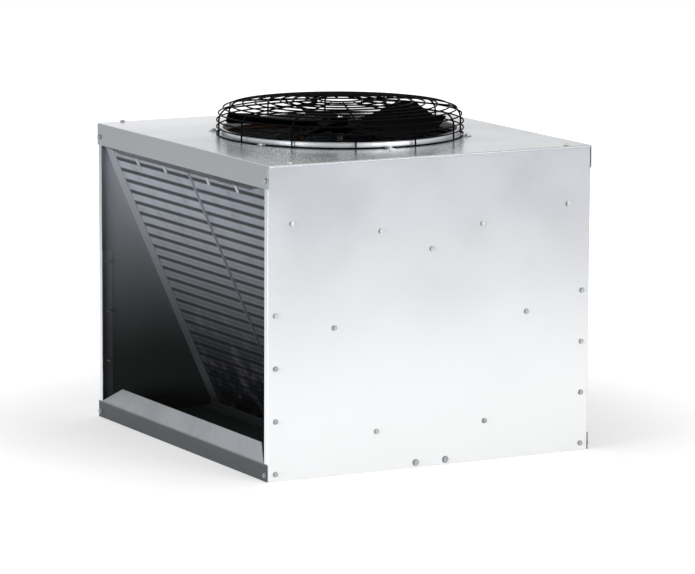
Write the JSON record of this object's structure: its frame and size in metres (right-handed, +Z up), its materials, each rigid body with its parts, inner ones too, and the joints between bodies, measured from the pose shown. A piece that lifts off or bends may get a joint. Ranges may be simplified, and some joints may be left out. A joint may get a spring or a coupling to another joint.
{
  "type": "remote condenser",
  "caption": "Air-cooled remote condenser: two slanted fin-and-tube coils in a V inside a sheet metal cabinet open at both ends, with a wire-guarded axial fan on top blowing upwards",
  "frame": {"origin": "centre of the base's underside, midway between the open ends and between the side panels", "axes": "+Z up along the fan axis, +X towards the right open end, +Y towards the far side panel with the line fittings"},
  "size_m": [0.7252, 0.8057, 0.6811],
  "materials": {
    "side_sheet": "galvanised, fine spangle",
    "top_sheet": "smooth pale grey, semi-gloss",
    "base_sheet": "galvanised, dulled",
    "inner_sheet": "galvanised",
    "orifice_sheet": "galvanised, pressed",
    "fin_aluminium": "mill finish",
    "copper": "drawn copper, slightly dulled",
    "fitting_brass": "turned brass",
    "motor_paint": "black paint",
    "core_steel": "laminated core",
    "bright_steel": "ground steel",
    "fan_paint": "black paint",
    "guard_coating": "glossy black coating over wire",
    "zinc_steel": "zinc plated",
    "lead_rubber": "black jacket",
    "box_sheet": "galvanised",
    "terminal_plastic": "moulded"
  },
  "bodies": {
    "cabinet": {"near_side_panel": "side_sheet", "far_side_panel": "side_sheet", "top_panel": "top_sheet", "base_pan": "base_sheet", "corner_posts": "inner_sheet", "fan_orifice": "orifice_sheet", "coil_foot_channel": "inner_sheet", "left_fins": "fin_aluminium", "right_fins": "fin_aluminium", "left_tubes": "copper", "right_tubes": "copper", "left_return_bends": "copper", "right_return_bends": "copper", "left_near_tube_sheet": "inner_sheet", "left_far_tube_sheet": "inner_sheet", "right_near_tube_sheet": "inner_sheet", "right_far_tube_sheet": "inner_sheet", "left_centre_support": "inner_sheet", "right_centre_support": "inner_sheet", "left_top_seal": "inner_sheet", "right_top_seal": "inner_sheet", "left_gas_manifold": "copper", "right_gas_manifold": "copper", "left_liquid_manifold": "copper", "right_liquid_manifold": "copper", "gas_line": "copper", "liquid_line": "copper", "gas_fitting": "fitting_brass", "liquid_fitting": "fitting_brass", "fitting_lock_nuts": "fitting_brass", "motor_bracket": "inner_sheet", "motor_shell": "motor_paint", "upper_end_bell": "motor_paint", "lower_end_bell": "motor_paint", "stator": "core_steel", "motor_bearings": "bright_steel", "motor_nuts": "bright_steel", "guard_rings": "guard_coating", "guard_ribs": "guard_coating", "guard_clips": "zinc_steel", "motor_lead": "lead_rubber", "lead_clips": "zinc_steel", "lead_grommet": "lead_rubber", "junction_box": "box_sheet", "junction_box_cover": "box_sheet", "terminal_block": "terminal_plastic", "panel_screws": "zinc_steel", "coil_screws": "zinc_steel", "bracket_screws": "zinc_steel", "base_bolts": "zinc_steel", "end_screws": "zinc_steel", "top_screws": "zinc_steel", "box_screws": "zinc_steel"},
    "fan": {"rotor": "core_steel", "motor_shaft": "bright_steel", "fan_hub": "fan_paint", "fan_spider": "fan_paint", "fan_blades": "fan_paint", "blade_rivets": "fan_paint", "hub_set_screw": "bright_steel"}
  },
  "joints": [
    {"name": "fan_spin", "type": "hinge", "parent": "cabinet", "child": "fan", "pos_m": [0, 0, 0.627], "axis": [0, 0, 1], "continuous": true}
  ]
}
